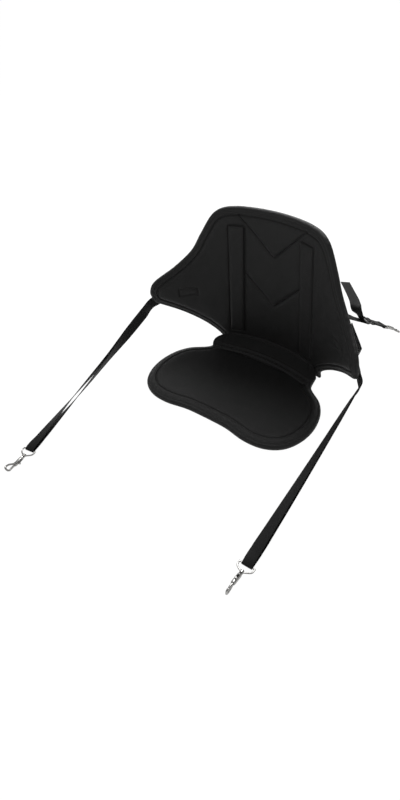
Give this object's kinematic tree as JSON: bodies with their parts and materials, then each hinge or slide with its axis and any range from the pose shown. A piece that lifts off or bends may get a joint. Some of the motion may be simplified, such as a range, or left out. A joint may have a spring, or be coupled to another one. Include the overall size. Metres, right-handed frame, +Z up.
{
  "type": "kayak seat",
  "caption": "Kayak seat with a moulded seat pad, a winged wrap-round back rest on a padded hinge web, and adjustable webbing straps that end in swivel bolt snaps.",
  "frame": {"origin": "on the underside of the seat pad, under its middle, where the pad rests", "axes": "+Z up, -Y towards the sitter's feet (the front straps reach that way), +X to the left hand of somebody sitting in the seat and to the right in a view from the front"},
  "size_m": [0.5515, 0.8962, 0.3674],
  "materials": {
    "pad_fabric": "matt woven polyester over moulded foam",
    "hinge_fabric": "matt woven polyester",
    "webbing": "black polypropylene webbing, slight sheen",
    "buckle": "black acetal",
    "stay": "glass-fibre bar",
    "nickel": "bright nickel plate",
    "spring_steel": "spring steel wire"
  },
  "bodies": {
    "seat": {"seat_pad": "pad_fabric", "back_pad": "pad_fabric", "hinge_web": "hinge_fabric", "stay_left": "stay", "stay_sleeve_left": "webbing", "front_strap_left": "webbing", "front_lock_left": "buckle", "front_anchor_left": "webbing", "rear_strap_left": "webbing", "rear_lock_left": "buckle", "rear_link_left": "webbing", "stay_right": "stay", "stay_sleeve_right": "webbing", "front_strap_right": "webbing", "front_lock_right": "buckle", "front_anchor_right": "webbing", "rear_strap_right": "webbing", "rear_lock_right": "buckle", "rear_link_right": "webbing"},
    "eye_front_left": {"swivel_eye_front_left": "nickel"},
    "hook_front_left": {"snap_hook_front_left": "nickel", "bolt_spring_front_left": "spring_steel"},
    "bolt_front_left": {"snap_bolt_front_left": "nickel"},
    "eye_front_right": {"swivel_eye_front_right": "nickel"},
    "hook_front_right": {"snap_hook_front_right": "nickel", "bolt_spring_front_right": "spring_steel"},
    "bolt_front_right": {"snap_bolt_front_right": "nickel"},
    "eye_rear_left": {"swivel_eye_rear_left": "nickel"},
    "hook_rear_left": {"snap_hook_rear_left": "nickel", "bolt_spring_rear_left": "spring_steel"},
    "bolt_rear_left": {"snap_bolt_rear_left": "nickel"},
    "eye_rear_right": {"swivel_eye_rear_right": "nickel"},
    "hook_rear_right": {"snap_hook_rear_right": "nickel", "bolt_spring_rear_right": "spring_steel"},
    "bolt_rear_right": {"snap_bolt_rear_right": "nickel"}
  },
  "joints": [
    {"name": "eye_swing_front_left", "type": "hinge", "parent": "seat", "child": "eye_front_left", "pos_m": [-0.2405, -0.408, 0.0042], "axis": [0.9848, 0.1736, 0], "range_deg": [-90, 90]},
    {"name": "eye_swing_front_right", "type": "hinge", "parent": "seat", "child": "eye_front_right", "pos_m": [0.2655, -0.364, 0.0043], "axis": [0.9994, 0.0349, 0], "range_deg": [-90, 90]},
    {"name": "eye_swing_rear_left", "type": "hinge", "parent": "seat", "child": "eye_rear_left", "pos_m": [-0.183, 0.3712, 0.0336], "axis": [-0.8746, -0.4848, 0], "range_deg": [-90, 90]},
    {"name": "eye_swing_rear_right", "type": "hinge", "parent": "seat", "child": "eye_rear_right", "pos_m": [0.183, 0.3712, 0.0336], "axis": [-0.8746, 0.4848, 0], "range_deg": [-90, 90]},
    {"name": "hook_swivel_front_left", "type": "hinge", "parent": "eye_front_left", "child": "hook_front_left", "pos_m": [-0.2405, -0.408, 0.0042], "axis": [0.1736, -0.9848, 0], "continuous": true},
    {"name": "hook_swivel_front_right", "type": "hinge", "parent": "eye_front_right", "child": "hook_front_right", "pos_m": [0.2655, -0.364, 0.0043], "axis": [0.0342, -0.9797, 0.1977], "continuous": true},
    {"name": "hook_swivel_rear_left", "type": "hinge", "parent": "eye_rear_left", "child": "hook_rear_left", "pos_m": [-0.183, 0.3712, 0.0336], "axis": [-0.4199, 0.7574, -0.5], "continuous": true},
    {"name": "hook_swivel_rear_right", "type": "hinge", "parent": "eye_rear_right", "child": "hook_rear_right", "pos_m": [0.183, 0.3712, 0.0336], "axis": [0.4199, 0.7574, -0.5], "continuous": true},
    {"name": "bolt_slide_front_left", "type": "slide", "parent": "hook_front_left", "child": "bolt_front_left", "axis": [-0.1736, 0.9848, 0], "range_m": [0, 0.009], "stiffness_N_per_m": 400, "springref_m": -0.004, "deforming": ["bolt_spring_front_left"]},
    {"name": "bolt_slide_front_right", "type": "slide", "parent": "hook_front_right", "child": "bolt_front_right", "axis": [-0.0342, 0.9797, -0.1977], "range_m": [0, 0.009], "stiffness_N_per_m": 400, "springref_m": -0.004, "deforming": ["bolt_spring_front_right"]},
    {"name": "bolt_slide_rear_left", "type": "slide", "parent": "hook_rear_left", "child": "bolt_rear_left", "axis": [0.4199, -0.7574, 0.5], "range_m": [0, 0.009], "stiffness_N_per_m": 400, "springref_m": -0.004, "deforming": ["bolt_spring_rear_left"]},
    {"name": "bolt_slide_rear_right", "type": "slide", "parent": "hook_rear_right", "child": "bolt_rear_right", "axis": [-0.4199, -0.7574, 0.5], "range_m": [0, 0.009], "stiffness_N_per_m": 400, "springref_m": -0.004, "deforming": ["bolt_spring_rear_right"]}
  ]
}
